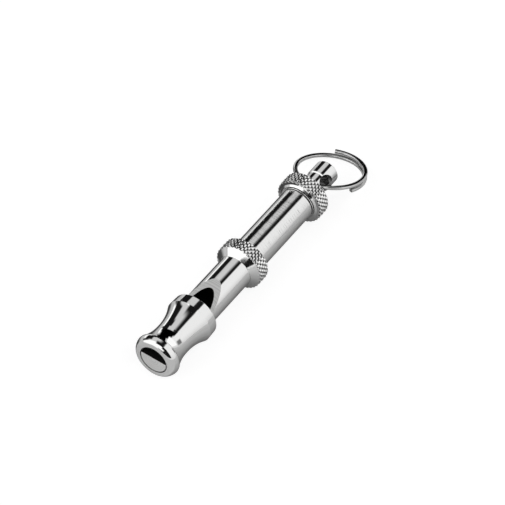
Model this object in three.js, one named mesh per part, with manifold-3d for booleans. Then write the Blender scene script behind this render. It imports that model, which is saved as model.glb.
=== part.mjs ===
// Adjustable dog whistle: a turned mouthpiece on a tube with a sound window, a plunger that a
// screw moves to set the pitch, a knurled lock nut, and a split ring in the eye of the screw's stud.
// Millimetres. +X runs along the whistle from the mouth to the ring, +Z is up through the window.
// The origin is on the axis, in the mouth face.

import * as THREE from 'three';
import { mergeVertices } from 'three/addons/utils/BufferGeometryUtils.js';
import Module from 'manifold-3d';

const wasm = await Module();
wasm.setup();

// Driving dimensions: fits and fineness
const PRESS_GAP = 0.05;          // between pieces that are pressed or soldered together
const RUN_GAP = 0.15;            // between pieces that slide or turn on each other
const FACE_GAP = 0.1;            // between end faces that meet
const SIDES = 40;                // facets round a turned piece
const SMALL_SIDES = 24;          // facets round an inner piece
const CURVE_STEPS = 6;           // chords in each stretch of a curved outline
const CUT_OVER = 1;              // how far a cutting shape runs past what it cuts
const WELD_REACH = 1e-4;         // corners closer than this are one corner

// Driving dimensions: front tube and mouthpiece
const TUBE_BORE_RADIUS = 3.8;
const TUBE_WALL = 0.85;
const MOUTHPIECE_LENGTH = 18.5;
const MOUTHPIECE_SEAT = 9.0;     // depth of the seat that takes the tube
const MOUTH_FACE_WALL = 1.25;    // flat face round the mouth
const MOUTH_CHAMFER = 0.15;
const LIP_WALL = 2.5;
const LIP_LENGTH = 2.1;          // mouth face to the widest place of the lip
const LIP_BACK = 0.45;           // narrow land behind the widest place
const LIP_STEP = 0.2;            // edge where the land drops to the waist
const WAIST_WALL = 1.1;
const WAIST_LENGTH = 8.4;        // mouth face to the waist
const WAIST_POWER = 2.2;         // how late the waist's curve turns outward
const SHOULDER_WALL = 1.88;      // over the tube, at the rear edge of the waist's curve
const RIM_LENGTH = 2.9;          // band behind that edge
const RIM_TAPER = 0.15;

// Driving dimensions: windway and sound window
const WINDWAY_HEIGHT = 3.17;     // at the mouth, under the top of the bore
const WINDWAY_SLIT = 0.7;        // at the window
const WINDOW_LENGTH = 9.5;       // along the top of the tube
const WINDOW_SLOPE = THREE.MathUtils.degToRad(17.4);
const WINDOW_UNDERCUT = 0.4;     // how far the window runs in under the mouthpiece

// Driving dimensions: collars and rear barrel
const FRONT_TUBE_SHOWN = 18;     // mouthpiece to middle collar
const COLLAR_LENGTH = 5.2;
const COLLAR_WALL = 2.18;        // over the tube
const COLLAR_CONE = 1.4;         // length of the polished cone in front of the knurl
const COLLAR_EDGE = 0.15;        // thickness of the cone's thin end
const COLLAR_RIB = 0.8;          // stop between the two tubes inside the collar
const BARREL_SHOWN = 23.5;       // middle collar to the end of the barrel
const KNURL_DEPTH = 0.25;
const KNURL_EASE = 0.06;         // rows between the full ones stand this much lower
const KNURL_COUNT = 32;          // diamonds round a collar
const KNURL_ROWS = 2;            // diamonds along a collar
const KNURL_BEVEL = 0.25;

// Driving dimensions: plunger and its screw
const AIR_COLUMN = 12.5;         // rear of the mouthpiece to the face of the plunger
const PLUNGER_LENGTH = 5;
const PLUNGER_FLOOR = 1.85;      // thickness of its closed front end
const SEAL_SECTION = 0.6;
const SEAL_PLACE = 1;            // face of the plunger to the seal
const SCREW_RADIUS = 2;
const SCREW_HEAD_RADIUS = 1.55;
const SCREW_NECK_RADIUS = 0.95;
const CLIP_WALL = 1.4;
const CLIP_THICKNESS = 0.5;
const BUSH_LENGTH = 10;
const FLANGE_THICKNESS = 0.4;
const FLANGE_LIP = 0.35;         // how far the flange stands out past the barrel

// Driving dimensions: lock nut, washer and eye stud
const NUT_LENGTH = 4.35;
const NUT_CONE = 0.4;
const NUT_FACE_WALL = 0.5;       // how far the nut's front edge stands out past the barrel
const WASHER_THICKNESS = 0.3;
const WASHER_WALL = 2.05;
const NUT_TRAVEL = 1.2;          // how far the nut backs off before its floor meets the stud
const STUD_NECK_RADIUS = 3.05;
const STUD_HEAD_RADIUS = 3.35;
const STUD_ENTRY = 0.3;          // how far the neck reaches into the nut
const STUD_NECK_SHOWN = 5.25;
const STUD_HEAD_LENGTH = 4.65;
const STUD_BEVEL = 0.3;
const STUD_WEB = 0.6;            // metal left between the screw's seat and the eye

// Driving dimensions: eye and split ring
const EYE_PLACE = 4.6;           // rear of the nut to the middle of the eye
const EYE_PLAY = 1.3;            // between the wire and the eye, all round
const EYE_LAND = 2.5;            // half length of the eye's straight part
const EYE_FLARE = THREE.MathUtils.degToRad(35);
const EYE_TURN = THREE.MathUtils.degToRad(59.5);   // from straight up toward -Y
const RING_RADIUS = 9.3;         // to the middle of the wire
const WIRE_WIDTH = 1.25;
const WIRE_THICKNESS = 1.0;
const WIRE_BEVEL = 0.25;
const LAYER_GAP = 0.45;          // between the ring's two layers
const RING_OVERLAP = THREE.MathUtils.degToRad(133);
const RING_START = THREE.MathUtils.degToRad(15.5);
const RING_STEPS = 32;           // steps in one turn of wire
const RING_SEAT = 0.95;          // the wire lies this far in front of the eye's middle
const RING_DROP = 0.72;          // and this far under it
const RING_LEAN = THREE.MathUtils.degToRad(-7.5);
const RING_DROOP = THREE.MathUtils.degToRad(14);
const RING_YAW = THREE.MathUtils.degToRad(6);

// Radii that follow from the driving dimensions
const tubeRadius = TUBE_BORE_RADIUS + TUBE_WALL;
const seatRadius = tubeRadius + PRESS_GAP;
const pressedRadius = TUBE_BORE_RADIUS - PRESS_GAP;
const plungerRadius = TUBE_BORE_RADIUS - RUN_GAP;
const shoulderRadius = tubeRadius + SHOULDER_WALL;
const collarRadius = tubeRadius + COLLAR_WALL;
const threadRadius = SCREW_RADIUS + RUN_GAP;
const screwSeatRadius = SCREW_RADIUS + PRESS_GAP;
const headBoreRadius = SCREW_HEAD_RADIUS + RUN_GAP;
const clipBoreRadius = SCREW_NECK_RADIUS + RUN_GAP;
const clipRadius = clipBoreRadius + CLIP_WALL;
const eyeRadius = WIRE_WIDTH / 2 + EYE_PLAY;
const neckBoreRadius = STUD_NECK_RADIUS + RUN_GAP;
const layerStep = WIRE_THICKNESS + LAYER_GAP;

// Places along the axis
const shoulderX = MOUTHPIECE_LENGTH - RIM_LENGTH;
const seatFloor = MOUTHPIECE_LENGTH - MOUTHPIECE_SEAT;
const tubeStart = seatFloor + FACE_GAP;
const windowFront = MOUTHPIECE_LENGTH - WINDOW_UNDERCUT;
const windowEnd = MOUTHPIECE_LENGTH + WINDOW_LENGTH;
const collarStart = MOUTHPIECE_LENGTH + FRONT_TUBE_SHOWN;
const collarEnd = collarStart + COLLAR_LENGTH;
const ribStart = (collarStart + collarEnd - COLLAR_RIB) / 2;
const ribEnd = ribStart + COLLAR_RIB;
const barrelEnd = collarEnd + BARREL_SHOWN;
const flangeStart = barrelEnd + PRESS_GAP;
const flangeEnd = flangeStart + FLANGE_THICKNESS;
const plungerStart = MOUTHPIECE_LENGTH + AIR_COLUMN;
const plungerEnd = plungerStart + PLUNGER_LENGTH;
const pocketStart = plungerStart + PLUNGER_FLOOR;
const clipEnd = plungerEnd - FACE_GAP;
const clipStart = clipEnd - CLIP_THICKNESS;
const nutStart = flangeEnd + FACE_GAP;
const nutEnd = nutStart + NUT_LENGTH;
const washerEnd = nutStart + WASHER_THICKNESS;
const threadStart = washerEnd + FACE_GAP;
const studStart = nutEnd - STUD_ENTRY;
const threadEnd = studStart - NUT_TRAVEL - FACE_GAP;
const studStep = nutEnd + STUD_NECK_SHOWN;
const studEnd = studStep + STUD_HEAD_LENGTH;
const eyeX = nutEnd + EYE_PLACE;
const screwSeatEnd = eyeX - eyeRadius - STUD_WEB;
const screwEnd = screwSeatEnd - FACE_GAP;

// Finishes
function finish(color, roughness, metalness = 1) {
  return new THREE.MeshStandardMaterial({ color, roughness, metalness, flatShading: true });
}
const polishedNickel = () => finish(0xd6d6d4, 0.12);
const turnedNickel = () => finish(0xcbcbc9, 0.22);
const knurledNickel = () => finish(0xc8c8c6, 0.28);
const rawBrass = () => finish(0xb9985a, 0.4);
const springSteel = () => finish(0xbfc1c4, 0.2);
const blackRubber = () => finish(0x1c1c1d, 0.85, 0);

// Welds a geometry into one closed skin: shared corners merged, collapsed triangles left out.
function weld(geometry) {
  geometry.deleteAttribute('normal');
  geometry.deleteAttribute('uv');
  const welded = mergeVertices(geometry, WELD_REACH);
  const corners = [];
  const index = welded.index.array;
  for (let i = 0; i < index.length; i += 3) {
    const [a, b, c] = index.slice(i, i + 3);
    if (a !== b && b !== c && c !== a) corners.push(a, b, c);
  }
  welded.setIndex(corners);
  return welded;
}

// Turns a closed outline of [x, radius] points about the whistle's axis. The outline runs rearward
// along the outside and comes back along the bore or the axis.
function turned(outline, sides = SIDES) {
  const points = outline.map(([x, radius]) => new THREE.Vector2(radius, x));
  points.push(points[0].clone());
  const geometry = new THREE.LatheGeometry(points, sides, Math.PI / sides);
  geometry.rotateZ(-Math.PI / 2);
  return weld(geometry);
}

// A plain ring or tube between two places on the axis.
function sleeve(start, end, radius, boreRadius, sides = SIDES) {
  return turned([[start, radius], [end, radius], [end, boreRadius], [start, boreRadius]], sides);
}

// A flat outline of [x, z] points made into a block that spans the width on both sides of the axis.
function block(outline, width) {
  const shape = new THREE.Shape(outline.map(([x, z]) => new THREE.Vector2(x, z)));
  const geometry = new THREE.ExtrudeGeometry(shape, { depth: width, bevelEnabled: false });
  geometry.translate(0, 0, -width / 2);
  geometry.rotateX(Math.PI / 2);
  return weld(geometry);
}

// Cuts one closed skin out of another.
function cut(geometry, tool) {
  const [body, cutter] = [geometry, tool].map((skin) => {
    const vertProperties = new Float32Array(skin.attributes.position.array);
    const triVerts = new Uint32Array(skin.index.array);
    return new wasm.Manifold(new wasm.Mesh({ numProp: 3, vertProperties, triVerts }));
  });
  const mesh = body.subtract(cutter).getMesh();
  const result = new THREE.BufferGeometry();
  result.setAttribute('position', new THREE.BufferAttribute(mesh.vertProperties, 3));
  result.setIndex(new THREE.BufferAttribute(mesh.triVerts, 1));
  return result;
}

// Points of a curve between two ends, both left out; the height is a function of 0 to 1.
function between(start, end, height) {
  const points = [];
  for (let i = 1; i < CURVE_STEPS; i += 1) {
    const share = i / CURVE_STEPS;
    points.push([THREE.MathUtils.lerp(start, end, share), height(share)]);
  }
  return points;
}

// Mouthpiece: rounded lip, drawn-in waist, and a rim that meets the window
function mouthpiece() {
  const faceRadius = TUBE_BORE_RADIUS + MOUTH_FACE_WALL;
  const lipRadius = TUBE_BORE_RADIUS + LIP_WALL;
  const waistRadius = TUBE_BORE_RADIUS + WAIST_WALL;
  const landEnd = LIP_LENGTH + LIP_BACK;
  const landRadius = lipRadius - LIP_STEP;
  const lipRise = (share) => faceRadius + (lipRadius - faceRadius) * Math.sqrt(1 - (1 - share) ** 2);
  const frontCove = (share) => waistRadius + (landRadius - waistRadius) * (1 - share) ** WAIST_POWER;
  const rearCove = (share) => waistRadius + (shoulderRadius - waistRadius) * share ** WAIST_POWER;
  return turned([
    [0, faceRadius],
    ...between(0, LIP_LENGTH, lipRise),
    [LIP_LENGTH, lipRadius],
    [landEnd, lipRadius - LIP_STEP / 2],
    [landEnd, landRadius],
    ...between(landEnd, WAIST_LENGTH, frontCove),
    [WAIST_LENGTH, waistRadius],
    ...between(WAIST_LENGTH, shoulderX, rearCove),
    [shoulderX, shoulderRadius],
    [MOUTHPIECE_LENGTH, shoulderRadius - RIM_TAPER],
    [MOUTHPIECE_LENGTH, seatRadius],
    [seatFloor, seatRadius],
    [seatFloor, TUBE_BORE_RADIUS],
    [MOUTH_CHAMFER, TUBE_BORE_RADIUS],
    [0, TUBE_BORE_RADIUS + MOUTH_CHAMFER],
  ]);
}

// Plug that fills the mouth below the windway; its flat top climbs to a thin slit at the window
function windwayPlug() {
  const rod = turned([[0, 0], [0, pressedRadius], [windowFront, pressedRadius], [windowFront, 0]]);
  const climb = (WINDWAY_HEIGHT - WINDWAY_SLIT) / windowFront;
  const flatAt = (x) => TUBE_BORE_RADIUS - WINDWAY_HEIGHT + climb * x;
  const roof = tubeRadius + CUT_OVER;
  const front = -CUT_OVER;
  const rear = windowFront + CUT_OVER;
  const above = [[front, flatAt(front)], [rear, flatAt(rear)], [rear, roof], [front, roof]];
  return cut(rod, block(above, 2 * tubeRadius));
}

// Front tube, with the slanting cut of the sound window
function whistleTube() {
  const tube = sleeve(tubeStart, ribStart - FACE_GAP, tubeRadius, TUBE_BORE_RADIUS);
  const cutAt = (x) => tubeRadius + (x - windowEnd) * Math.tan(WINDOW_SLOPE);
  const rear = windowEnd + CUT_OVER;
  const roof = cutAt(rear) + CUT_OVER;
  const above = [
    [windowFront, cutAt(windowFront)],
    [rear, cutAt(rear)],
    [rear, roof],
    [windowFront, roof],
  ];
  return cut(tube, block(above, 2 * (tubeRadius + CUT_OVER)));
}

// A knurled ring: polished cone, bevel, diamond knurl, bevel and flat rear face, then the bore's
// outline, which runs forward from the rear face. Every other corner of the knurl stands proud, and
// the collar lies on the full rows.
function knurledRing(front, cone, rear, frontRadius, bore) {
  const sides = 2 * KNURL_COUNT;
  const rows = 2 * KNURL_ROWS;
  const rootRadius = collarRadius - KNURL_DEPTH;
  const bandStart = front + cone + KNURL_BEVEL;
  const bandEnd = rear - KNURL_BEVEL;
  const outline = [[front, frontRadius], [front + cone, rootRadius - KNURL_BEVEL]];
  const firstRow = outline.length;
  for (let row = 0; row <= rows; row += 1) {
    outline.push([THREE.MathUtils.lerp(bandStart, bandEnd, row / rows), rootRadius]);
  }
  outline.push([rear, rootRadius - KNURL_BEVEL], ...bore);
  const points = outline.map(([x, radius]) => new THREE.Vector2(radius, x));
  points.push(points[0].clone());
  const geometry = new THREE.LatheGeometry(points, sides);
  const place = geometry.attributes.position;
  for (let side = 0; side <= sides; side += 1) {
    for (let row = 1; row < rows; row += 1) {
      if ((side + row) % 2 === 1) continue;
      const corner = side * points.length + firstRow + row;
      const proud = (row % 2 === 1 ? collarRadius : collarRadius - KNURL_EASE) / rootRadius;
      place.setX(corner, place.getX(corner) * proud);
      place.setZ(corner, place.getZ(corner) * proud);
    }
  }
  geometry.rotateZ(-Math.PI / 2);
  return weld(geometry);
}

// Middle collar: joins the front tube to the rear barrel, with a rib between their ends
function middleCollar() {
  const bore = [
    [collarEnd, seatRadius],
    [ribEnd, seatRadius],
    [ribEnd, TUBE_BORE_RADIUS],
    [ribStart, TUBE_BORE_RADIUS],
    [ribStart, seatRadius],
    [collarStart, seatRadius],
  ];
  return knurledRing(collarStart, COLLAR_CONE, collarEnd, seatRadius + COLLAR_EDGE, bore);
}

// Threaded bush in the end of the barrel, with a thin flange against the barrel's end
function threadedBush() {
  const bushStart = barrelEnd - BUSH_LENGTH;
  const flangeRadius = tubeRadius + FLANGE_LIP;
  return turned([
    [bushStart, pressedRadius],
    [flangeStart, pressedRadius],
    [flangeStart, flangeRadius],
    [flangeEnd, flangeRadius],
    [flangeEnd, threadRadius],
    [bushStart, threadRadius],
  ]);
}

// Plunger: closed front face, a groove for the seal, and a pocket for the screw's head
function plungerHead() {
  const grooveStart = plungerStart + SEAL_PLACE;
  const grooveEnd = grooveStart + SEAL_SECTION + 2 * PRESS_GAP;
  const grooveRadius = plungerRadius - SEAL_SECTION;
  const clipSeatRadius = clipRadius + PRESS_GAP;
  return turned([
    [plungerStart, 0],
    [plungerStart, plungerRadius],
    [grooveStart, plungerRadius],
    [grooveStart, grooveRadius],
    [grooveEnd, grooveRadius],
    [grooveEnd, plungerRadius],
    [plungerEnd, plungerRadius],
    [plungerEnd, clipSeatRadius],
    [clipStart - PRESS_GAP, clipSeatRadius],
    [clipStart - PRESS_GAP, headBoreRadius],
    [pocketStart, headBoreRadius],
    [pocketStart, 0],
  ], SMALL_SIDES);
}

// Seal ring in the plunger's groove, a little proud of the plunger
function plungerSeal() {
  const start = plungerStart + SEAL_PLACE + PRESS_GAP;
  const inner = plungerRadius - SEAL_SECTION + PRESS_GAP;
  const outer = (plungerRadius + TUBE_BORE_RADIUS) / 2;
  const bevel = SEAL_SECTION / 4;
  return turned([
    [start, outer - bevel],
    [start + bevel, outer],
    [start + SEAL_SECTION - bevel, outer],
    [start + SEAL_SECTION, outer - bevel],
    [start + SEAL_SECTION, inner + bevel],
    [start + SEAL_SECTION - bevel, inner],
    [start + bevel, inner],
    [start, inner + bevel],
  ], SMALL_SIDES);
}

// Tuning screw: a head that turns in the plunger, a neck through the clip, and the threaded rod
function tuningScrew() {
  const headStart = pocketStart + FACE_GAP;
  const headEnd = clipStart - FACE_GAP;
  const rodStart = plungerEnd + FACE_GAP;
  return turned([
    [headStart, 0],
    [headStart, SCREW_HEAD_RADIUS],
    [headEnd, SCREW_HEAD_RADIUS],
    [headEnd, SCREW_NECK_RADIUS],
    [rodStart, SCREW_NECK_RADIUS],
    [rodStart, SCREW_RADIUS],
    [screwEnd, SCREW_RADIUS],
    [screwEnd, 0],
  ], SMALL_SIDES);
}

// Lock nut: washer recess in front, a short thread, and a counterbore that clears the stud's neck
function lockNut() {
  const recessRadius = threadRadius + WASHER_WALL + RUN_GAP;
  const bore = [
    [nutEnd, neckBoreRadius],
    [threadEnd, neckBoreRadius],
    [threadEnd, threadRadius],
    [threadStart, threadRadius],
    [threadStart, recessRadius],
    [nutStart, recessRadius],
  ];
  return knurledRing(nutStart, NUT_CONE, nutEnd, tubeRadius + NUT_FACE_WALL, bore);
}

// Eye stud: seated on the end of the screw, with a flared eye across it for the ring
function eyeStud() {
  const body = turned([
    [studStart, screwSeatRadius],
    [studStart, STUD_NECK_RADIUS],
    [studStep - STUD_BEVEL, STUD_NECK_RADIUS],
    [studStep, STUD_HEAD_RADIUS],
    [studEnd - STUD_BEVEL, STUD_HEAD_RADIUS],
    [studEnd, STUD_HEAD_RADIUS - STUD_BEVEL],
    [studEnd, 0],
    [screwSeatEnd, 0],
    [screwSeatEnd, screwSeatRadius],
  ]);
  const reach = STUD_HEAD_RADIUS + CUT_OVER;
  const mouthRadius = eyeRadius + (reach - EYE_LAND) * Math.tan(EYE_FLARE);
  const eye = turned([
    [-reach, 0],
    [-reach, mouthRadius],
    [-EYE_LAND, eyeRadius],
    [EYE_LAND, eyeRadius],
    [reach, mouthRadius],
    [reach, 0],
  ], SMALL_SIDES);
  eye.rotateY(-Math.PI / 2);
  eye.rotateX(EYE_TURN);
  eye.translate(eyeX, 0, 0);
  return cut(body, eye);
}

// Middle line of the split ring's wire, about the ring's own centre: the first stretch lies in the
// upper layer, the last in the lower, and the wire passes from one to the other through the eye.
class RingLine extends THREE.Curve {
  getPoint(share, target = new THREE.Vector3()) {
    const whole = 2 * Math.PI + RING_OVERLAP;
    const travelled = whole * share;
    const passage = THREE.MathUtils.smoothstep(travelled, RING_OVERLAP, 2 * Math.PI);
    const angle = RING_START - travelled;
    return target.set(
      RING_RADIUS * Math.cos(angle),
      RING_RADIUS * Math.sin(angle),
      layerStep * (0.5 - passage),
    );
  }
}

// Least distance between stretches of the wire that are more than half a turn apart
function leastGap(line, steps) {
  const points = line.getPoints(steps);
  const halfTurn = Math.round(RING_STEPS / 2);
  let least = Infinity;
  for (let i = 0; i < points.length; i += 1) {
    for (let j = i + halfTurn; j < points.length; j += 1) {
      least = Math.min(least, points[i].distanceTo(points[j]) - WIRE_THICKNESS);
    }
  }
  return least;
}

// Split ring: one flat-sided wire wound a turn and a third
function splitRing() {
  const line = new RingLine();
  const steps = Math.round(RING_STEPS * (1 + RING_OVERLAP / (2 * Math.PI)));
  console.log(`split ring: least gap between its layers ${leastGap(line, steps).toFixed(2)} mm`);
  const [half, rise] = [WIRE_THICKNESS / 2, WIRE_WIDTH / 2];
  const section = new THREE.Shape([
    new THREE.Vector2(-half, -rise + WIRE_BEVEL),
    new THREE.Vector2(0, -rise),
    new THREE.Vector2(half, -rise + WIRE_BEVEL),
    new THREE.Vector2(half, rise - WIRE_BEVEL),
    new THREE.Vector2(0, rise),
    new THREE.Vector2(-half, rise - WIRE_BEVEL),
  ]);
  const geometry = new THREE.ExtrudeGeometry(section, { steps, extrudePath: line, bevelEnabled: false });
  geometry.translate(RING_RADIUS - RING_SEAT, 0, -RING_DROP);
  return weld(geometry);
}

// Assembly
const whistle = new THREE.Group();
const pieces = [
  ['mouthpiece', mouthpiece(), polishedNickel()],
  ['windway_plug', windwayPlug(), turnedNickel()],
  ['whistle_tube', whistleTube(), polishedNickel()],
  ['middle_collar', middleCollar(), knurledNickel()],
  ['rear_barrel', sleeve(ribEnd + FACE_GAP, barrelEnd, tubeRadius, TUBE_BORE_RADIUS), turnedNickel()],
  ['threaded_bush', threadedBush(), rawBrass()],
  ['plunger_head', plungerHead(), rawBrass()],
  ['plunger_seal', plungerSeal(), blackRubber()],
  ['plunger_clip', sleeve(clipStart, clipEnd, clipRadius, clipBoreRadius, SMALL_SIDES), springSteel()],
  ['tuning_screw', tuningScrew(), turnedNickel()],
  ['lock_washer', sleeve(nutStart, washerEnd, threadRadius + WASHER_WALL, threadRadius), springSteel()],
  ['lock_nut', lockNut(), knurledNickel()],
  ['eye_stud', eyeStud(), polishedNickel()],
];
for (const [name, geometry, material] of pieces) {
  const mesh = new THREE.Mesh(geometry, material);
  mesh.name = name;
  whistle.add(mesh);
}

// The ring hangs in the eye and lies back to the surface that the whistle rests on.
const ring = new THREE.Mesh(splitRing(), springSteel());
ring.name = 'split_ring';
ring.position.set(eyeX, 0, 0);
ring.rotation.set(RING_LEAN, RING_DROOP, RING_YAW);
whistle.add(ring);

export default whistle;
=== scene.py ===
"""Looks of an adjustable dog whistle, built over its CAD frame: metal pieces, floor, light and camera."""

import logging
import math
from collections.abc import Callable, Iterable, Sequence
from dataclasses import dataclass
from enum import Enum, IntEnum

import bmesh
import bpy
from mathutils import Matrix, Vector


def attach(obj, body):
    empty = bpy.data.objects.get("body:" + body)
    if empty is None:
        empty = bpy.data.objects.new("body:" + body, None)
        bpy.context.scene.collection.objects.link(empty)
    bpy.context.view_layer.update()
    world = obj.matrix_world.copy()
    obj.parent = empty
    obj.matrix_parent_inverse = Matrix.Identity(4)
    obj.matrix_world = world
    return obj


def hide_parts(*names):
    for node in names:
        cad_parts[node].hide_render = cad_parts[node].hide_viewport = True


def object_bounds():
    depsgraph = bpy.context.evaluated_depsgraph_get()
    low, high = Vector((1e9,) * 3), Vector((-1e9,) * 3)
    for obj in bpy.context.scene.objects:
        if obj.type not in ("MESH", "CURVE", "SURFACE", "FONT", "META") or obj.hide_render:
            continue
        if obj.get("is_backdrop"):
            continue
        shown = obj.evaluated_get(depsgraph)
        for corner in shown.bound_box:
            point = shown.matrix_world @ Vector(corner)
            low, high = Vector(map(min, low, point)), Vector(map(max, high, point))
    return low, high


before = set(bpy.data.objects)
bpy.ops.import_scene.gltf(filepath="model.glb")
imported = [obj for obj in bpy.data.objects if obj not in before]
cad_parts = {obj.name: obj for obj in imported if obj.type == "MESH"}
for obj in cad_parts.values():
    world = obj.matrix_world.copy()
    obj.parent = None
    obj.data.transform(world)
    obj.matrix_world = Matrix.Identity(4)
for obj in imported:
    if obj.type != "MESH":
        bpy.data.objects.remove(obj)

log = logging.getLogger("whistle")

# Sizes are in millimetres, and this makes them metres.
MM = 0.001
# Facets round the axis of pieces that show, and of small or hidden ones.
SIDES = 192
FEW_SIDES = 96
# Rounded edges: steps in the arc, width of the strip beside it, and the share of a side that it may take.
FILLET_STEPS = 6
SUPPORT = 0.03
FILLET_ROOM = 0.45
# Usual radii of rounded edges.
FINE = 0.03
EDGE = 0.05
# How far a cutting tool reaches past what it cuts.
OVERSHOOT = 1.0
# Edges that turn more than this are shaded as sharp.
CREASE = math.radians(32)
# Least distance from the axis that a rule divides by, in metres.
TINY = 1e-6
# Measures that the rules store on the points for the finishes: the knurl's height, from which its finish
# paints shade into the valleys, and the wire's nearness to an edge, from which its finish paints dark
# reflections.
KNURL_MARK = "knurl"
EDGE_MARK = "edge"
# Numbers of a mix node's two colour inputs and of its colour output.
MIX_LOW = 6
MIX_HIGH = 7
MIX_RESULT = 2

Triple = tuple[float, float, float]
Span = tuple[float, float]


class Body(Enum):
    """Moving bodies of the frame."""

    WHISTLE = "body"
    PLUNGER = "plunger"
    SCREW = "screw"
    WASHER = "washer"
    NUT = "nut"
    RING = "ring"


class Slot(Enum):
    """Material slots of the record."""

    POLISHED = "polished_nickel"
    SATIN = "satin_nickel"
    KNURLED = "knurled_nickel"
    TURNED = "turned_nickel"
    BRASS = "raw_brass"
    RUBBER = "black_rubber"
    SPRING = "spring_steel"
    RING = "ring_steel"


class Coat(IntEnum):
    """Places in a piece's list of finishes."""

    OUTER = 0
    INNER = 1


class Value:
    """A number socket of a node tree; arithmetic on it adds nodes to the tree."""

    def __init__(self, tree: "Tree", socket: bpy.types.NodeSocket) -> None:
        """Keeps the socket and its tree."""
        self.tree = tree
        self.socket = socket

    def __add__(self, other: "Operand") -> "Value":
        """Sum."""
        return self.tree.math("ADD", self, other)

    def __radd__(self, other: "Operand") -> "Value":
        """Sum, with this value on the right."""
        return self.tree.math("ADD", other, self)

    def __sub__(self, other: "Operand") -> "Value":
        """Difference."""
        return self.tree.math("SUBTRACT", self, other)

    def __rsub__(self, other: "Operand") -> "Value":
        """Difference, with this value on the right."""
        return self.tree.math("SUBTRACT", other, self)

    def __mul__(self, other: "Operand") -> "Value":
        """Product."""
        return self.tree.math("MULTIPLY", self, other)

    def __rmul__(self, other: "Operand") -> "Value":
        """Product, with this value on the right."""
        return self.tree.math("MULTIPLY", other, self)

    def __truediv__(self, other: "Operand") -> "Value":
        """Quotient."""
        return self.tree.math("DIVIDE", self, other)

    def __rtruediv__(self, other: "Operand") -> "Value":
        """Quotient, with this value on the right."""
        return self.tree.math("DIVIDE", other, self)

    def __pow__(self, other: "Operand") -> "Value":
        """Power."""
        return self.tree.math("POWER", self, other)

    def __rpow__(self, other: "Operand") -> "Value":
        """Power, with this value as the exponent."""
        return self.tree.math("POWER", other, self)

    def __neg__(self) -> "Value":
        """Negative."""
        return self.tree.math("MULTIPLY", self, -1.0)

    def __abs__(self) -> "Value":
        """Size without sign."""
        return self.tree.math("ABSOLUTE", self)

    def least(self, other: "Operand") -> "Value":
        """Smaller of two values."""
        return self.tree.math("MINIMUM", self, other)

    def most(self, other: "Operand") -> "Value":
        """Larger of two values."""
        return self.tree.math("MAXIMUM", self, other)

    def wave(self) -> "Value":
        """Even wave: 0 at whole numbers, 1 halfway between them."""
        return self.tree.math("PINGPONG", self, 0.5) * 2.0

    def rise(self, start: "Operand", end: "Operand") -> "Value":
        """Smooth step.

        Args:
            start: Where it is 0.
            end: Where it is 1.

        Returns:
            Value from 0 to 1.
        """
        feeds = {0: self, 1: start, 2: end, 3: 0.0, 4: 1.0}
        node = self.tree.node("ShaderNodeMapRange", {"interpolation_type": "SMOOTHSTEP"}, feeds)
        return Value(self.tree, node.outputs[0])

    def band(self, limits: Span, soft: Span) -> "Value":
        """Window that is 1 between two limits, with soft edges.

        Args:
            limits: Lower and upper limit.
            soft: Widths over which the lower and the upper edge fade.

        Returns:
            Value from 0 to 1.
        """
        opening, closing = (self.rise(at - fade / 2, at + fade / 2) for at, fade in zip(limits, soft))
        return opening * (1.0 - closing)


Operand = Value | float
Feed = Value | bpy.types.NodeSocket | float | int | str | Sequence[float] | bpy.types.ID


def opaque(colour: Triple | bpy.types.NodeSocket) -> Feed:
    """Colour with full cover, or the socket itself where a socket gives the colour."""
    return colour if isinstance(colour, bpy.types.NodeSocket) else (*colour, 1.0)


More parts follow.
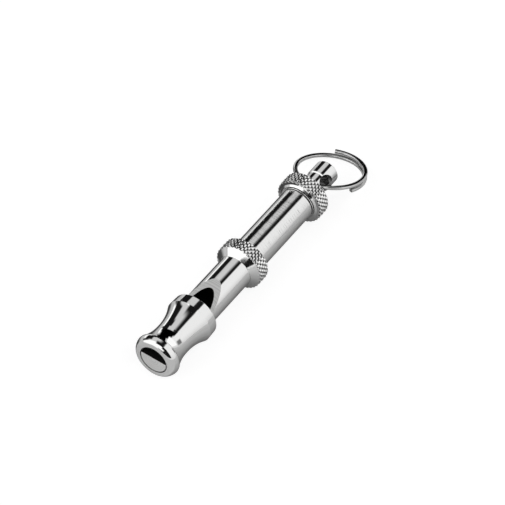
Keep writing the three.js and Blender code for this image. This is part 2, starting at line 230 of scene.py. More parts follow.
class Tree:
    """Node tree that is filled through one generic method."""

    def __init__(self, group: bpy.types.NodeTree) -> None:
        """Empties the tree."""
        self.group = group
        group.nodes.clear()

    def node(
        self,
        kind: str,
        settings: dict[str, object] | None = None,
        feeds: dict[str | int, Feed] | None = None,
    ) -> bpy.types.Node:
        """Adds a node of any kind.

        Args:
            kind: Node type.
            settings: Properties, set first; "stops" holds a colour ramp's places and grey tones.
            feeds: Values or links for the input sockets, by name or number.

        Returns:
            The new node.
        """
        node = self.group.nodes.new(kind)
        for key, setting in (settings or {}).items():
            if key == "stops":
                self._set_stops(node.color_ramp, setting)
            else:
                setattr(node, key, setting)
        for key, feed in (feeds or {}).items():
            self.feed(node.inputs[key], feed)
        return node

    def feed(self, socket: bpy.types.NodeSocket, feed: Feed) -> None:
        """Links or sets one input socket.

        Args:
            socket: The input.
            feed: Value, socket or constant for it.
        """
        source = feed.socket if isinstance(feed, Value) else feed
        if isinstance(source, bpy.types.NodeSocket):
            self.group.links.new(source, socket)
        else:
            socket.default_value = source

    def math(self, operation: str, *terms: Operand) -> Value:
        """Adds one maths node."""
        node = self.node("ShaderNodeMath", {"operation": operation}, dict(enumerate(terms)))
        return Value(self, node.outputs[0])

    def vector(self, operation: str, *terms: Feed) -> bpy.types.NodeSocket:
        """Adds one vector maths node."""
        node = self.node("ShaderNodeVectorMath", {"operation": operation}, dict(enumerate(terms)))
        return node.outputs[0]

    def length(self, vector: bpy.types.NodeSocket) -> Value:
        """Length of a vector."""
        node = self.node("ShaderNodeVectorMath", {"operation": "LENGTH"}, {0: vector})
        return Value(self, node.outputs["Value"])

    def mix(
        self,
        share: Operand,
        low: Triple | bpy.types.NodeSocket,
        high: Triple | bpy.types.NodeSocket,
    ) -> bpy.types.NodeSocket:
        """Mixes two colours."""
        feeds = {0: share, MIX_LOW: opaque(low), MIX_HIGH: opaque(high)}
        return self.node("ShaderNodeMix", {"data_type": "RGBA"}, feeds).outputs[MIX_RESULT]

    def split(self, vector: bpy.types.NodeSocket) -> list[Value]:
        """Parts of a vector along X, Y and Z."""
        node = self.node("ShaderNodeSeparateXYZ", feeds={0: vector})
        return [Value(self, part) for part in node.outputs]

    def join(self, x: Operand, y: Operand, z: Operand) -> bpy.types.NodeSocket:
        """Vector from its parts."""
        return self.node("ShaderNodeCombineXYZ", feeds={0: x, 1: y, 2: z}).outputs[0]

    def place(self) -> bpy.types.NodeSocket:
        """Object coordinates in millimetres."""
        spot = self.node("ShaderNodeTexCoord").outputs["Object"]
        return self.vector("MULTIPLY", spot, (1 / MM, 1 / MM, 1 / MM))

    def stored(self, mark: str) -> Value:
        """Measure that a rule stored on the points."""
        return Value(self, self.node("ShaderNodeAttribute", {"attribute_name": mark}).outputs["Fac"])

    def noise(self, place: Feed, scale: float, detail: float = 2.0) -> Value:
        """Soft noise over a place in millimetres, about 0 to 1."""
        feeds = {"Vector": place, "Scale": scale, "Detail": detail}
        return Value(self, self.node("ShaderNodeTexNoise", feeds=feeds).outputs["Fac"])

    def lines(self, along: Value, scale: float, detail: float = 3.0) -> Value:
        """Noise that varies along one measure only, as cutter marks do."""
        feeds = {"W": along, "Scale": scale, "Detail": detail}
        return Value(self, self.node("ShaderNodeTexNoise", {"noise_dimensions": "1D"}, feeds).outputs["Fac"])

    def to_camera(self, other: bpy.types.Node, shown: bpy.types.Node) -> bpy.types.NodeSocket:
        """Shader that shows one shader to the camera and another to all other rays.

        Args:
            other: Shader for the other rays.
            shown: Shader for the camera.

        Returns:
            Socket of the mixed shader.
        """
        seen = self.node("ShaderNodeLightPath").outputs["Is Camera Ray"]
        feeds = {0: seen, 1: other.outputs[0], 2: shown.outputs[0]}
        return self.node("ShaderNodeMixShader", feeds=feeds).outputs[0]

    @staticmethod
    def _set_stops(ramp: bpy.types.ColorRamp, stops: Iterable[Span]) -> None:
        """Replaces a ramp's stops.

        Args:
            ramp: The ramp.
            stops: Place and grey tone of each new stop.
        """
        while len(ramp.elements) > 1:
            ramp.elements.remove(ramp.elements[-1])
        for number, (spot, tone) in enumerate(stops):
            stop = ramp.elements[0] if number == 0 else ramp.elements.new(spot)
            stop.position = spot
            stop.color = (tone, tone, tone, 1.0)


def new_material(name: str) -> tuple[bpy.types.Material, Tree]:
    """Makes an empty material.

    Args:
        name: Name of the material.

    Returns:
        The material and its tree.
    """
    material = bpy.data.materials.new(name)
    material.use_nodes = True
    return material, Tree(material.node_tree)


@dataclass(frozen=True)
class Finish:
    """Even finish with a faint haze: the base of all the others."""

    name: str
    colour: Triple
    roughness: float
    metallic: float = 1.0
    haze: float = 0.02
    haze_scale: float = 0.35

    def make(self) -> bpy.types.Material:
        """Builds the material.

        Returns:
            The new material.
        """
        material, tree = new_material(self.name)
        fixed = {"Base Color": opaque(self.colour), "Metallic": self.metallic, "Roughness": self.roughness}
        shader = tree.node("ShaderNodeBsdfPrincipled", feeds=fixed)
        self.pattern(tree, shader)
        tree.node("ShaderNodeOutputMaterial", feeds={"Surface": shader.outputs["BSDF"]})
        return material

    def pattern(self, tree: Tree, shader: bpy.types.Node) -> None:
        """Adds what varies over the surface: here a haze in the gloss."""
        haze = self.roughness + self.haze * tree.noise(tree.place(), self.haze_scale)
        tree.feed(shader.inputs["Roughness"], haze)

    def faded(self, share: float) -> Triple:
        """Colour of the finish times a share."""
        return tuple(share * part for part in self.colour)

    @staticmethod
    def tint(tree: Tree, shader: bpy.types.Node, share: Value, low: Triple, high: Triple) -> None:
        """Feeds a mix of two colours to the shader's base colour."""
        tree.feed(shader.inputs["Base Color"], tree.mix(share, low, high))

    @staticmethod
    def bump(tree: Tree, shader: bpy.types.Node, height: Value) -> None:
        """Feeds a height in millimetres to the shader's normal."""
        feeds = {"Strength": 1.0, "Distance": MM, "Height": height}
        tree.feed(shader.inputs["Normal"], tree.node("ShaderNodeBump", feeds=feeds).outputs["Normal"])


@dataclass(frozen=True)
class TurnedFinish(Finish):
    """Plate over fine marks of a lathe's cutter, which run round the whistle's axis."""

    pitch: float = 0.9
    depth: float = 0.002
    scratch_scale: float = 3.1
    scratch_depth: float = 0.024
    ridge_share: float = 0.2
    tone_span: Span = (0.2, 0.8)
    dark_share: float = 0.97

    def pattern(self, tree: Tree, shader: bpy.types.Node) -> None:
        """Adds the haze, even ridges, uneven scratches and a tone that follows both.

        Args:
            tree: Tree of the material.
            shader: Shader that takes them.
        """
        super().pattern(tree, shader)
        along = tree.split(tree.place())[0]
        ridges = tree.math("SINE", along * (math.tau / self.pitch))
        scratches = tree.lines(along, self.scratch_scale)
        share = (ridges * self.ridge_share + scratches).rise(*self.tone_span)
        self.tint(tree, shader, share, self.faded(self.dark_share), self.colour)
        self.bump(tree, shader, ridges * self.depth + scratches * self.scratch_depth)


@dataclass(frozen=True)
class FacedFinish(Finish):
    """Machined face with marks that run round a centre, or across it where the squeeze leaves one axis."""

    centre: Triple = (0.0, 0.0, 0.0)
    squeeze: Triple = (0.0, 1.0, 1.0)
    depth: float = 0.003
    scale: float = 4.0
    tone_span: Span = (0.3, 0.7)
    dark_share: float = 0.9

    def pattern(self, tree: Tree, shader: bpy.types.Node) -> None:
        """Adds marks at a steady distance from the centre, and a gloss and tone that follow them.

        Args:
            tree: Tree of the material.
            shader: Shader that takes them.
        """
        arm = tree.vector("SUBTRACT", tree.place(), self.centre)
        marks = tree.lines(tree.length(tree.vector("MULTIPLY", arm, self.squeeze)), self.scale)
        tree.feed(shader.inputs["Roughness"], self.roughness + self.haze * marks)
        self.tint(tree, shader, marks.rise(*self.tone_span), self.faded(self.dark_share), self.colour)
        self.bump(tree, shader, marks * self.depth)


@dataclass(frozen=True)
class KnurledFinish(Finish):
    """Plate over a knurl, dull in the valleys, which are darkened with painted shade."""

    haze_scale: float = 1.5
    painted_valley_shade: Triple = (0.02, 0.02, 0.02)
    valley_roughness: float = 0.4
    crest_span: Span = (0.22, 0.6)

    def pattern(self, tree: Tree, shader: bpy.types.Node) -> None:
        """Adds painted shade and a duller gloss in the valleys, by the height that the knurl's rule stored,
        and the haze.

        Args:
            tree: Tree of the material.
            shader: Shader that takes them.
        """
        crest = tree.stored(KNURL_MARK).rise(*self.crest_span)
        # Painted shade: the valleys are tinted near black, where the knurl shades itself.
        self.tint(tree, shader, crest, self.painted_valley_shade, self.colour)
        gloss = self.valley_roughness + crest * (self.roughness - self.valley_roughness)
        haze = self.haze * tree.noise(tree.place(), self.haze_scale)
        tree.feed(shader.inputs["Roughness"], gloss + haze)


@dataclass(frozen=True)
class GrainedFinish(Finish):
    """Dull surface with a fine grain, for rubber, raw metal and the near-black painted shade of the bores."""

    grain: float = 0.004
    grain_scale: float = 9.0
    mottle: float = 0.15
    mottle_scale: float = 0.8

    def pattern(self, tree: Tree, shader: bpy.types.Node) -> None:
        """Adds a fine bump and a slow change of tone.

        Args:
            tree: Tree of the material.
            shader: Shader that takes them.
        """
        place = tree.place()
        self.bump(tree, shader, tree.noise(place, self.grain_scale) * self.grain)
        share = tree.noise(place, self.mottle_scale)
        self.tint(tree, shader, share, self.faded(1.0 - self.mottle), self.colour)


@dataclass(frozen=True)
class DrawnFinish(Finish):
    """Plate over drawn wire, with painted dark reflections along the wire's edges."""

    painted_edge_reflection: Triple = (0.33, 0.33, 0.33)
    edge_span: Span = (0.8, 1.0)

    def pattern(self, tree: Tree, shader: bpy.types.Node) -> None:
        """Adds the haze, and painted dark reflections on the edges by the measure that the wire's rule
        stored.

        Args:
            tree: Tree of the material.
            shader: Shader that takes them.
        """
        super().pattern(tree, shader)
        self.tint(tree, shader, tree.stored(EDGE_MARK).rise(*self.edge_span), self.colour, self.painted_edge_reflection)


POLISHED = Finish("bright_plate", (0.80, 0.80, 0.795), 0.05)
TURNED = TurnedFinish("turned_plate", (0.79, 0.79, 0.785), 0.07)
THREADED = TurnedFinish("threaded_plate", (0.74, 0.74, 0.73), 0.16, depth=0.0)
KNURLED = KnurledFinish("knurled_plate", (0.90, 0.90, 0.895), 0.08)
MOUTH_FACE = FacedFinish("faced_plug", (0.94, 0.94, 0.93), 0.25, haze=0.1, dark_share=0.82)
WINDOW_FACE = FacedFinish(
    "faced_window",
    (0.97, 0.97, 0.96),
    0.30,
    haze=0.08,
    centre=(13.0, 0.0, 0.0),
    squeeze=(1.0, 1.0, 0.0),
    depth=0.004,
    scale=2.6,
    dark_share=0.80,
)
# Painted shade: near-black colour for the insides of the bores, where little light reaches.
SHADED_BORE = GrainedFinish("painted_shade_bore", (0.02, 0.02, 0.02), 0.5, metallic=0.7)
# Inside of the eye: near-black painted shade, broken by grey marks.
EYE_BORE = FacedFinish(
    "eye_bore",
    (0.45, 0.45, 0.45),
    0.22,
    haze=0.1,
    centre=(74.7, 0.0, 0.0),
    squeeze=(1.0, 0.0, 0.0),
    scale=1.5,
    dark_share=0.02,
)
BRASS = GrainedFinish("plain_brass", (0.72, 0.56, 0.28), 0.35)
RUBBER = GrainedFinish("matt_rubber", (0.025, 0.025, 0.025), 0.75, metallic=0.0)
SPRING = GrainedFinish("spring_plate", (0.66, 0.67, 0.68), 0.25, mottle=0.08)
WIRE = DrawnFinish("bright_wire", (0.82, 0.82, 0.815), 0.09, haze=0.05, haze_scale=0.9)


class FinishShelf:
    """Materials of the finishes, each made once."""

    def __init__(self) -> None:
        """Starts with nothing made."""
        self._made: dict[Finish, bpy.types.Material] = {}

    def take(self, finish: Finish) -> bpy.types.Material:
        """Gives a finish's material, and makes it the first time.

        Args:
            finish: The finish.

        Returns:
            Its material.
        """
        if finish not in self._made:
            self._made[finish] = finish.make()
        return self._made[finish]


SHELF = FinishShelf()


@dataclass(frozen=True)
class Corner:
    """Corner of a turned piece's outline, with the finish of the strip after it."""

    x: float
    radius: float
    fillet: float = 0.0
    finish: Coat = Coat.OUTER


def softened(corners: Sequence[Corner]) -> list[Corner]:
    """Rounds the corners of a closed outline that have a fillet.

    Args:
        corners: The outline's corners in order.

    Returns:
        Corners without fillets: an arc and a support on each side in place of each rounded corner.
    """
    points: list[Corner] = []
    for number, corner in enumerate(corners):
        before = corners[number - 1]
        after = corners[(number + 1) % len(corners)]
        if corner.fillet <= 0.0:
            points.append(corner)
            continue
        here = Vector((corner.x, corner.radius))
        back = Vector((before.x, before.radius)) - here
        ahead = Vector((after.x, after.radius)) - here
        turn = math.pi - back.angle(ahead)
        room = FILLET_ROOM * min(back.length, ahead.length)
        trim = min(corner.fillet * math.tan(turn / 2), room)
        start = here + back.normalized() * trim
        end = here + ahead.normalized() * trim
        if trim + SUPPORT < room:
            rest = start + back.normalized() * SUPPORT
            points.append(Corner(rest.x, rest.y, finish=before.finish))
        for step in range(FILLET_STEPS + 1):
            share = step / FILLET_STEPS
            spot = start * (1 - share) ** 2 + here * (2 * share * (1 - share)) + end * share**2
            points.append(Corner(spot.x, spot.y, finish=before.finish if share < 0.5 else corner.finish))
        if trim + SUPPORT < room:
            rest = end + ahead.normalized() * SUPPORT
            points.append(Corner(rest.x, rest.y, finish=corner.finish))
    return points


def curve(start: float, end: float, height: Callable[[float], float], steps: int = 32) -> list[Corner]:
    """Points of a curved stretch of an outline, without its two ends.

    Args:
        start: Place of its first end.
        end: Place of its last end.
        height: Radius as a function of the share from 0 to 1.
        steps: Number of chords.

    Returns:
        Corners between the ends.
    """
    shares = [step / steps for step in range(1, steps)]
    return [Corner(start + (end - start) * share, height(share)) for share in shares]


def hoop(front: float, rear: float, outer: float, inner: float, fillet: float) -> list[Corner]:
    """Outline of a plain ring with all its edges rounded alike.

    Args:
        front: Place of its front face.
        rear: Place of its rear face.
        outer: Outer radius.
        inner: Inner radius.
        fillet: Radius of the edges.

    Returns:
        The four corners.
    """
    sides = ((front, outer), (rear, outer), (rear, inner), (front, inner))
    return [Corner(x, radius, fillet) for x, radius in sides]


def new_shape(name: str, bm: bmesh.types.BMesh, finishes: Iterable[Finish] = ()) -> bpy.types.Object:
    """Puts a mesh under construction on a new object.

    Args:
        name: Name of the object and of its mesh.
        bm: The mesh, which is freed.
        finishes: Finishes that its faces number.

    Returns:
        The new object.
    """
    bmesh.ops.recalc_face_normals(bm, faces=bm.faces)
    mesh = bpy.data.meshes.new(name)
    bm.to_mesh(mesh)
    bm.free()
    for finish in finishes:
        mesh.materials.append(SHELF.take(finish))
    shape = bpy.data.objects.new(name, mesh)
    bpy.context.scene.collection.objects.link(shape)
    return shape


def turned(
    name: str,
    corners: Sequence[Corner],
    finishes: Sequence[Finish] = (),
    sides: int = SIDES,
) -> bpy.types.Object:
    """Turns a closed outline about the whistle's axis.

    Args:
        name: Name of the new object.
        corners: Outline, rearward along the outside and back along the bore or the axis.
        finishes: Finishes that the corners number.
        sides: Facets round the axis.

    Returns:
        The new object.
    """
    points = softened(corners)
    bm = bmesh.new()
    turns = [math.tau * side / sides for side in range(sides)]
    rings: list[list[bmesh.types.BMVert]] = []
    for point in points:
        reach = point.radius * MM
        angles = turns if reach > 0.0 else turns[:1]
        rings.append([bm.verts.new((point.x * MM, reach * math.sin(a), reach * math.cos(a))) for a in angles])
    for number, point in enumerate(points):
        here = rings[number]
        after = rings[(number + 1) % len(rings)]
        if len(here) == 1 and len(after) == 1:
            continue
        for side in range(sides):
            beside = (side + 1) % sides
            loop = [here[side % len(here)], here[beside % len(here)]]
            loop += [after[beside % len(after)], after[side % len(after)]]
            face = bm.faces.new(dict.fromkeys(loop))
            face.material_index = point.finish
            face.smooth = True
    return new_shape(name, bm, finishes)


def slab(name: str, ends: Sequence[Span], top: float, width: float, finish: Finish) -> bpy.types.Object:
    """Block over a slanting floor, to cut with.

    Args:
        name: Name of the new object.
        ends: Both ends of the floor, in X and Z.
        top: Height of its top.
        width: Width along Y, half on each side of the axis.
        finish: Finish that a cut made with it leaves.

    Returns:
        The new object.
    """
    outline = [*ends, *((x, top) for x, _ in reversed(ends))]
    bm = bmesh.new()
    near, far = (
        [bm.verts.new((x * MM, y * MM, z * MM)) for x, z in outline]
        for y in (-width / 2, width / 2)
    )
    bm.faces.new(near)
    bm.faces.new(far)
    for number in range(len(outline)):
        after = (number + 1) % len(outline)
        bm.faces.new((near[number], near[after], far[after], far[number]))
    return new_shape(name, bm, (finish,))


def settle(shape: bpy.types.Object) -> None:
    """Puts the result of an object's modifiers in a plain mesh and removes them.

    Args:
        shape: The object.
    """
    graph = bpy.context.evaluated_depsgraph_get()
    mesh = bpy.data.meshes.new_from_object(shape.evaluated_get(graph))
    shape.modifiers.clear()
    shape.data = mesh
    mesh.name = shape.name


def cut(shape: bpy.types.Object, tool: bpy.types.Object) -> None:
    """Cuts a tool out of a piece; the new faces take the tool's finish.

    Args:
        shape: The piece.
        tool: The tool, which is removed.
    """
    change = shape.modifiers.new("cut", "BOOLEAN")
    change.operation = "DIFFERENCE"
    change.solver = "EXACT"
    change.material_mode = "TRANSFER"
    change.object = tool
    settle(shape)
    bpy.data.objects.remove(tool)


class Rule:
    """Geometry rule with named inputs, laid on an object as a modifier."""

    def __init__(self, name: str, inputs: dict[str, float | Sequence[float]]) -> None:
        """Makes the group.

        Args:
            name: Name of the group.
            inputs: Name and value of each input.
        """
        group = bpy.data.node_groups.new(name, "GeometryNodeTree")
        self.tree = Tree(group)
        self.values = inputs
        group.interface.new_socket("Geometry", in_out="INPUT", socket_type="NodeSocketGeometry")
        for label, value in inputs.items():
            kind = "NodeSocketFloat" if isinstance(value, float | int) else "NodeSocketVector"
            group.interface.new_socket(label, in_out="INPUT", socket_type=kind)
        group.interface.new_socket("Geometry", in_out="OUTPUT", socket_type="NodeSocketGeometry")
        self.start = self.tree.node("NodeGroupInput")

    def given(self, label: str) -> Value:
        """Value of a named input."""
        return Value(self.tree, self.start.outputs[label])

    def place(self) -> list[Value]:
        """Parts of each point's position, in metres."""
        return self.tree.split(self.tree.node("GeometryNodeInputPosition").outputs[0])

    def reach(self) -> Value:
        """Distance of each point from the whistle's axis, in metres."""
        _, y, z = self.place()
        return self.tree.math("SQRT", y * y + z * z)

    def push(self, outward: Value) -> bpy.types.NodeSocket:
        """Moves each point straight away from the whistle's axis.

        Args:
            outward: Distance in metres.

        Returns:
            Socket with the moved geometry.
        """
        _, y, z = self.place()
        reach = self.reach().most(TINY)
        offset = self.tree.join(0.0, y / reach * outward, z / reach * outward)
        feeds = {"Geometry": self.start.outputs["Geometry"], "Offset": offset}
        return self.tree.node("GeometryNodeSetPosition", feeds=feeds).outputs[0]

    def mark(self, geometry: bpy.types.NodeSocket, name: str, value: Value) -> bpy.types.NodeSocket:
        """Stores a measure on each point, for a finish.

        Args:
            geometry: Socket with the geometry.
            name: Name of the measure.
            value: The measure.

        Returns:
            Socket with the marked geometry.
        """
        settings = {"data_type": "FLOAT", "domain": "POINT"}
        feeds = {"Geometry": geometry, "Name": name, "Value": value}
        return self.tree.node("GeometryNodeStoreNamedAttribute", settings, feeds).outputs[0]

    def lay(self, shape: bpy.types.Object, geometry: bpy.types.NodeSocket, finish: Finish) -> None:
        """Closes the tree with the finish, and puts its result on an object.

        Args:
            shape: Object that the rule works on.
            geometry: Socket with the finished geometry.
            finish: Finish of the whole piece.
        """
        real = self.tree.node("GeometryNodeRealizeInstances", feeds={"Geometry": geometry})
        coat = {"Geometry": real.outputs[0], "Material": SHELF.take(finish)}
        coated = self.tree.node("GeometryNodeSetMaterial", feeds=coat)
        self.tree.node("NodeGroupOutput", feeds={0: coated.outputs[0]})
        change = shape.modifiers.new("rule", "NODES")
        change.node_group = self.tree.group
        for item in self.tree.group.interface.items_tree:
            if item.in_out == "INPUT" and item.name in self.values:
                change[item.identifier] = self.values[item.name]
        settle(shape)


@dataclass
class Piece:
    """Finished mesh and what it stands for in the frame."""

    shape: bpy.types.Object
    body: Body
    slot: Slot
    node: str

    def dress(self) -> None:
        """Shades the mesh, ties it to its body and hides the CAD node that it replaces."""
        mesh = self.shape.data
        mesh.shade_smooth()
        mesh.set_sharp_from_angle(angle=CREASE)
        bm = bmesh.new()
        bm.from_mesh(mesh)
        for edge in bm.edges:
            if len({face.material_index for face in edge.link_faces}) > 1:
                edge.smooth = False
        bm.to_mesh(mesh)
        bm.free()
        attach(self.shape, self.body.value)
        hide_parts(self.node)
        log.info("%s: %d faces", self.shape.name, len(mesh.polygons))


class Assembly:
    """Group of pieces that is built, then dressed."""

    def build(self) -> list[Piece]:
        """Makes the pieces."""
        raise NotImplementedError

    def dress(self) -> None:
        """Builds and dresses every piece."""
        for piece in self.build():
            piece.dress()


@dataclass
class Mouthpiece(Assembly):
    """Turned mouthpiece with a rounded lip and a waist, and the block that fills its mouth."""

    length: float = 18.5
    bore: float = 3.8
    chamfer: float = 0.24
    face: float = 5.05
    lip: float = 6.3
    lip_place: float = 2.1
    lip_power: float = 1.65
    land_place: float = 2.55
    land: float = 6.2
    land_round: float = 0.04
    step: float = 6.1
    groove: float = 5.95
    groove_width: float = 0.18
    waist: float = 4.9
    waist_place: float = 8.4
    waist_power: float = 2.2
    shoulder: float = 6.53
    shoulder_place: float = 15.6
    rim: float = 6.38
    rim_round: float = 0.08
    seat: float = 4.7
    seat_place: float = 9.5
    block: float = 3.75
    block_end: float = 18.1
    windway: float = 0.63
    windway_end: float = 3.1
    cut_top: float = 6.0
    cut_width: float = 10.0

    def build(self) -> list[Piece]:
        """Makes the sleeve and the block.

        Returns:
            Both pieces.
        """
        sleeve = turned("mouth_sleeve", self._outline(), (POLISHED, SHADED_BORE))
        rod = [
            Corner(0, 0),
            Corner(0, self.block, EDGE),
            Corner(self.block_end, self.block, EDGE),
            Corner(self.block_end, 0),
        ]
        block = turned("mouth_block", rod, (MOUTH_FACE, SHADED_BORE))
        climb = (self.windway_end - self.windway) / self.block_end
        ends = [(x, self.windway + climb * x) for x in (-OVERSHOOT, self.block_end + OVERSHOOT)]
        # The windway's slanted floor takes the near-black bore finish: painted shade in the mouth.
        cut(block, slab("windway_cut", ends, self.cut_top, self.cut_width, SHADED_BORE))
        return [
            Piece(sleeve, Body.WHISTLE, Slot.POLISHED, "mouthpiece"),
            Piece(block, Body.WHISTLE, Slot.SATIN, "windway_plug"),
        ]

    def _swell(self, share: float) -> float:
        """Radius of the rounded lip at a share of its length."""
        swell = (1 - (1 - share) ** self.lip_power) ** (1 / self.lip_power)
        return self.face + (self.lip - self.face) * swell

    def _fall(self, share: float) -> float:
        """Radius at a share of the way from the lip down to the waist."""
        return self.waist + (self.step - self.waist) * (1 - share) ** self.waist_power

    def _climb(self, share: float) -> float:
        """Radius at a share of the way from the waist up to the shoulder."""
        return self.waist + (self.shoulder - self.waist) * share**self.waist_power

    def _outline(self) -> list[Corner]:
        """Outline of the sleeve.

        Returns:
            Its corners.
        """
        groove_end = self.land_place + self.groove_width
        groove_share = self.groove_width / (self.waist_place - self.land_place)
        front = curve(self.land_place, self.waist_place, self._fall)
        return [
            Corner(0, self.face, EDGE),
            *curve(0, self.lip_place, self._swell),
            Corner(self.lip_place, self.lip),
            # The step behind the land and the groove after it take the near-black bore finish: painted shade
            # in the crevice.
            Corner(self.land_place, self.land, self.land_round, Coat.INNER),
            Corner(self.land_place, self.groove, finish=Coat.INNER),
            Corner(groove_end, self.groove, finish=Coat.INNER),
            Corner(groove_end, self._fall(groove_share)),
            *(point for point in front if point.x > groove_end),
            Corner(self.waist_place, self.waist),
            *curve(self.waist_place, self.shoulder_place, self._climb),
            Corner(self.shoulder_place, self.shoulder, EDGE),
            Corner(self.length, self.rim, self.rim_round),
            Corner(self.length, self.seat, FINE, Coat.INNER),
            Corner(self.seat_place, self.seat, finish=Coat.INNER),
            Corner(self.seat_place, self.bore, finish=Coat.INNER),
            Corner(self.chamfer, self.bore, finish=Coat.INNER),
            Corner(0, self.bore + self.chamfer),
        ]


@dataclass
class FrontTube(Assembly):
    """Front tube with the slanting cut of the sound window."""

    start: float = 9.6
    end: float = 38.6
    radius: float = 4.65
    bore: float = 3.8
    window_start: float = 18.1
    window_end: float = 28.0
    slope: float = math.radians(17.4)
    cut_top: float = 7.0
    cut_width: float = 12.0

    def build(self) -> list[Piece]:
        """Makes the tube and cuts the window.

        Returns:
            The tube.
        """
        outline = [
            Corner(self.start, self.radius, EDGE),
            Corner(self.end, self.radius, EDGE),
            Corner(self.end, self.bore, finish=Coat.INNER),
            Corner(self.start, self.bore),
        ]
        tube = turned("front_tube", outline, (POLISHED, SHADED_BORE))
        climb = math.tan(self.slope)
        places = (self.window_start, self.window_end + OVERSHOOT)
        ends = [(x, self.radius + (x - self.window_end) * climb) for x in places]
        cut(tube, slab("window_cut", ends, self.cut_top, self.cut_width, WINDOW_FACE))
        return [Piece(tube, Body.WHISTLE, Slot.POLISHED, "whistle_tube")]


@dataclass
class KnurledCollar:
    """Collar with a polished cone in front, a diamond knurl and a flat rear face.

    The brow is the length over which the front of the knurl is rounded.
    """

    name: str
    front: float
    rear: float
    cone: float
    front_radius: float
    bore: tuple[Corner, ...]
    cone_edge: float = 6.40
    brow: float = 0.0
    root: float = 6.52
    crest: float = 6.79
    edge: float = 6.40
    bevel: float = 0.1
    count: int = 32
    pitch: float = 1.4
    grid: int = 12
    flat_top: float = 0.85
    fade: float = 0.05

    def build(self) -> bpy.types.Object:
        """Makes the collar and raises its diamonds.

        Returns:
            The new object.
        """
        start = self.front + self.cone + self.bevel
        end = self.rear - self.bevel
        steps = round((end - start) / self.pitch * self.grid)
        places = [start + (end - start) * step / steps for step in range(steps + 1)]
        outline = [
            Corner(self.front, self.front_radius, FINE),
            Corner(self.front + self.cone, self.cone_edge, FINE),
            *(Corner(place, self._blank(place - start)) for place in places),
            Corner(self.rear, self.edge, FINE),
            *self.bore,
        ]
        shape = turned(self.name, outline, sides=self.count * self.grid)
        self._raise(shape, start, end)
        return shape

    def _blank(self, depth: float) -> float:
        """Radius under the knurl.

        Args:
            depth: Distance from the knurl's front end.

        Returns:
            The radius there.
        """
        if depth >= self.brow:
            return self.root
        short = 1 - (depth + self.bevel) / (self.brow + self.bevel)
        return self.cone_edge + (self.root - self.cone_edge) * math.sqrt(1 - short**2)

    def _raise(self, shape: bpy.types.Object, start: float, end: float) -> None:
        """Raises the diamonds by a rule.

        Args:
            shape: The turned blank.
            start: Front end of the knurl.
            end: Rear end of the knurl.
        """
        inputs = {"Start": start, "End": end, "Count": float(self.count), "Pitch": self.pitch}
        inputs |= {"Height": self.crest - self.root, "Top": self.flat_top}
        rule = Rule(f"{self.name}_knurl", inputs)
        x, y, z = rule.place()
        depth = x / MM - rule.given("Start")
        along = depth / rule.given("Pitch")
        across = rule.tree.math("ARCTAN2", y, z) / math.tau * rule.given("Count")
        up = (across + along).wave()
        down = (across - along).wave()
        height = up.least(down).least(rule.given("Top")) / rule.given("Top")
        share = depth / (rule.given("End") - rule.given("Start"))
        inside = share.band((0.0, 1.0), (self.fade, self.fade))
        raised = rule.push(height * inside * rule.given("Height") * MM)
        # Stored for the finish, which paints shade into the valleys where this is low.
        tone = 1.0 - inside * (1.0 - (up + down) * 0.5)
        rule.lay(shape, rule.mark(raised, KNURL_MARK, tone), KNURLED)


@dataclass
class Joint(Assembly):
    """Middle collar, rear barrel and the bush in the barrel's end."""

    collar_front: float = 36.5
    collar_rear: float = 41.7
    collar_cone: float = 1.4
    collar_edge: float = 4.72
    rib_front: float = 38.7
    rib_rear: float = 39.5
    seat: float = 4.66
    radius: float = 4.65
    bore: float = 3.8
    barrel_front: float = 39.6
    barrel_end: float = 65.2
    barrel_round: float = 0.06
    bush_front: float = 55.2
    bush_radius: float = 3.75
    bush_bore: float = 2.15
    flange_front: float = 65.4
    flange_end: float = 65.56
    flange: float = 5.0

    def build(self) -> list[Piece]:
        """Makes the collar, the barrel and the bush.

        Returns:
            The three pieces.
        """
        seats = (
            Corner(self.collar_rear, self.seat, FINE),
            Corner(self.rib_rear, self.seat),
            Corner(self.rib_rear, self.bore),
            Corner(self.rib_front, self.bore),
            Corner(self.rib_front, self.seat),
            Corner(self.collar_front, self.seat),
        )
        collar = KnurledCollar(
            name="centre_collar",
            front=self.collar_front,
            rear=self.collar_rear,
            cone=self.collar_cone,
            front_radius=self.collar_edge,
            bore=seats,
        ).build()
        tube = [
            Corner(self.barrel_front, self.radius, EDGE),
            Corner(self.barrel_end, self.radius, self.barrel_round),
            Corner(self.barrel_end, self.bore, finish=Coat.INNER),
            Corner(self.barrel_front, self.bore),
        ]
        barrel = turned("barrel_tube", tube, (TURNED, SHADED_BORE))
        sleeve = [
            Corner(self.bush_front, self.bush_radius, EDGE, Coat.INNER),
            Corner(self.barrel_end, self.bush_radius),
            Corner(self.flange_front, self.bush_radius),
            Corner(self.flange_front, self.flange, EDGE),
            Corner(self.flange_end, self.flange, EDGE),
            Corner(self.flange_end, self.bush_bore, EDGE, Coat.INNER),
            Corner(self.bush_front, self.bush_bore, EDGE, Coat.INNER),
        ]
        bush = turned("end_bush", sleeve, (POLISHED, BRASS))
        return [
            Piece(collar, Body.WHISTLE, Slot.KNURLED, "middle_collar"),
            Piece(barrel, Body.WHISTLE, Slot.TURNED, "rear_barrel"),
            Piece(bush, Body.WHISTLE, Slot.BRASS, "threaded_bush"),
        ]


